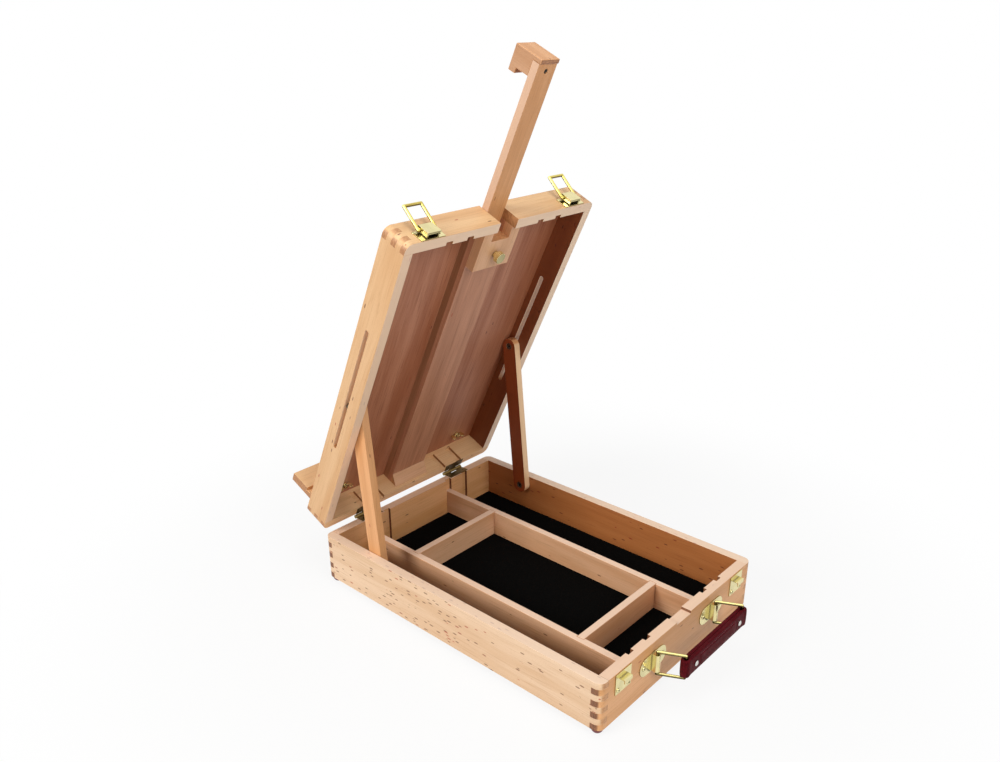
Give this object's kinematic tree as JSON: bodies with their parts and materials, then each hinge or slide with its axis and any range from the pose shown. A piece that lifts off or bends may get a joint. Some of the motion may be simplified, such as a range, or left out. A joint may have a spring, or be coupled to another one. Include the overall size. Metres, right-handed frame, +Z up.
{
  "type": "pochade box",
  "caption": "Wooden table box easel: divided paint tray, hinged lid on slotted struts, sliding mast, canvas ledge, latches and a leather carrying handle.",
  "frame": {"origin": "middle of the bounding box, at the underside of the feet, with the lid open as modelled", "axes": "+X to the right seen from the handle side, +Y from the handle towards the hinges, +Z up"},
  "size_m": [0.27, 0.47, 0.573],
  "materials": {
    "beech": "pale beech, clear lacquer",
    "plywood": "red brown plywood, satin",
    "oiled_wood": "orange tan hardwood, satin",
    "brass": "polished brass plate",
    "steel": "plain steel",
    "leather": "burgundy leather",
    "felt": "black foam felt",
    "foot_resin": "burgundy moulded foot"
  },
  "bodies": {
    "tray": {"tray_front_wall": "beech", "tray_back_wall": "beech", "tray_left_wall": "beech", "tray_right_wall": "beech", "tray_floor": "plywood", "floor_lining": "felt", "left_divider": "beech", "right_divider": "beech", "back_cross_divider": "beech", "front_cross_divider": "beech", "dome_feet": "foot_resin", "tray_hinge_leaves": "brass", "hinge_pins": "steel", "tray_hinge_screws": "brass", "strut_bushes": "brass", "catch_plates": "brass", "catch_screws": "brass", "handle_brackets": "brass", "bracket_screws": "brass"},
    "lid": {"lid_top_left_wall": "beech", "lid_top_right_wall": "beech", "lid_hinge_wall": "beech", "lid_left_wall": "beech", "lid_right_wall": "beech", "lid_left_board": "plywood", "lid_right_board": "plywood", "left_mast_rail": "beech", "right_mast_rail": "beech", "channel_cover": "plywood", "clamp_block": "beech", "channel_slope": "beech", "mast_straps": "brass", "strap_screws": "brass", "lid_hinge_leaves": "brass", "lid_hinge_screws": "brass", "latch_plates": "brass", "latch_screws": "brass", "canvas_ledge": "beech", "ledge_bolts": "brass"},
    "left_ring": {"left_handle_ring": "brass"},
    "right_ring": {"right_handle_ring": "brass"},
    "grip": {"handle_grip": "leather", "grip_rivets": "steel"},
    "left_lever": {"left_latch_lever": "brass"},
    "right_lever": {"right_latch_lever": "brass"},
    "left_loop": {"left_latch_loop": "brass"},
    "right_loop": {"right_latch_loop": "brass"},
    "left_nut": {"left_wing_nut": "brass"},
    "right_nut": {"right_wing_nut": "brass"},
    "clamp": {"clamp_screw": "brass"},
    "mast": {"mast": "oiled_wood", "mast_head": "oiled_wood", "mast_head_screw": "steel"},
    "left_slider": {"left_slot_bolt": "steel"},
    "right_slider": {"right_slot_bolt": "steel"},
    "left_strut": {"left_strut": "oiled_wood", "left_strut_pin": "steel"},
    "right_strut": {"right_strut": "oiled_wood", "right_strut_pin": "steel"}
  },
  "joints": [
    {"name": "lid_hinge", "type": "hinge", "parent": "tray", "child": "lid", "pos_m": [0, 0.18723, 0.0601], "axis": [-1, 0, 0], "range_deg": [-65, 10]},
    {"name": "mast_slide", "type": "slide", "parent": "lid", "child": "mast", "axis": [0, 0.4226, -0.9063], "range_m": [-0.015, 0.1577]},
    {"name": "clamp_screw_turn", "type": "hinge", "parent": "lid", "child": "clamp", "pos_m": [0, 0.04061, 0.37571], "axis": [0, 0.9063, 0.4226], "continuous": true},
    {"name": "left_nut_turn", "type": "hinge", "parent": "lid", "child": "left_nut", "pos_m": [-0.092, 0.19682, 0.09988], "axis": [0, 0.9063, 0.4226], "continuous": true},
    {"name": "right_nut_turn", "type": "hinge", "parent": "lid", "child": "right_nut", "pos_m": [0.092, 0.19682, 0.09988], "axis": [0, 0.9063, 0.4226], "continuous": true},
    {"name": "left_slider_slide", "type": "slide", "parent": "lid", "child": "left_slider", "axis": [0, 0.4226, -0.9063], "range_m": [-0.0845, 0.0131]},
    {"name": "left_strut_turn", "type": "hinge", "parent": "left_slider", "child": "left_strut", "pos_m": [-0.124, 0.12724, 0.23016], "axis": [-1, 0, 0], "range_deg": [-19.8, 3.1]},
    {"name": "left_lever_turn", "type": "hinge", "parent": "lid", "child": "left_lever", "pos_m": [-0.102, 0.02515, 0.41738], "axis": [1, 0, 0], "range_deg": [0, 60]},
    {"name": "left_loop_turn", "type": "hinge", "parent": "left_lever", "child": "left_loop", "pos_m": [-0.102, 0.03222, 0.42067], "axis": [1, 0, 0], "range_deg": [-18, 112]},
    {"name": "right_slider_slide", "type": "slide", "parent": "lid", "child": "right_slider", "axis": [0, 0.4226, -0.9063], "range_m": [-0.0845, 0.0131]},
    {"name": "right_strut_turn", "type": "hinge", "parent": "right_slider", "child": "right_strut", "pos_m": [0.124, 0.12724, 0.23016], "axis": [-1, 0, 0], "range_deg": [-19.8, 3.1]},
    {"name": "right_lever_turn", "type": "hinge", "parent": "lid", "child": "right_lever", "pos_m": [0.102, 0.02515, 0.41738], "axis": [1, 0, 0], "range_deg": [0, 60]},
    {"name": "right_loop_turn", "type": "hinge", "parent": "right_lever", "child": "right_loop", "pos_m": [0.102, 0.03222, 0.42067], "axis": [1, 0, 0], "range_deg": [-18, 112]},
    {"name": "left_ring_turn", "type": "hinge", "parent": "tray", "child": "left_ring", "pos_m": [-0.053, -0.20647, 0.039], "axis": [0, 0, 1], "range_deg": [-92, 38]},
    {"name": "right_ring_turn", "type": "hinge", "parent": "tray", "child": "right_ring", "pos_m": [0.053, -0.20647, 0.039], "axis": [0, 0, 1], "range_deg": [-92, 38]},
    {"name": "grip_turn", "type": "hinge", "parent": "left_ring", "child": "grip", "pos_m": [-0.0412, -0.22964, 0.039], "axis": [0, 0, 1], "range_deg": [-38, 92]}
  ],
  "couplings": [
    {"joint": "right_ring_turn", "follows": "left_ring_turn", "ratio": 1},
    {"joint": "grip_turn", "follows": "left_ring_turn", "ratio": -1},
    {"joint": "left_slider_slide", "follows": "lid_hinge", "m_per_rad": 0.074353},
    {"joint": "left_strut_turn", "follows": "lid_hinge", "ratio": 0.3031},
    {"joint": "right_slider_slide", "follows": "lid_hinge", "m_per_rad": 0.074353},
    {"joint": "right_strut_turn", "follows": "lid_hinge", "ratio": 0.3031}
  ]
}
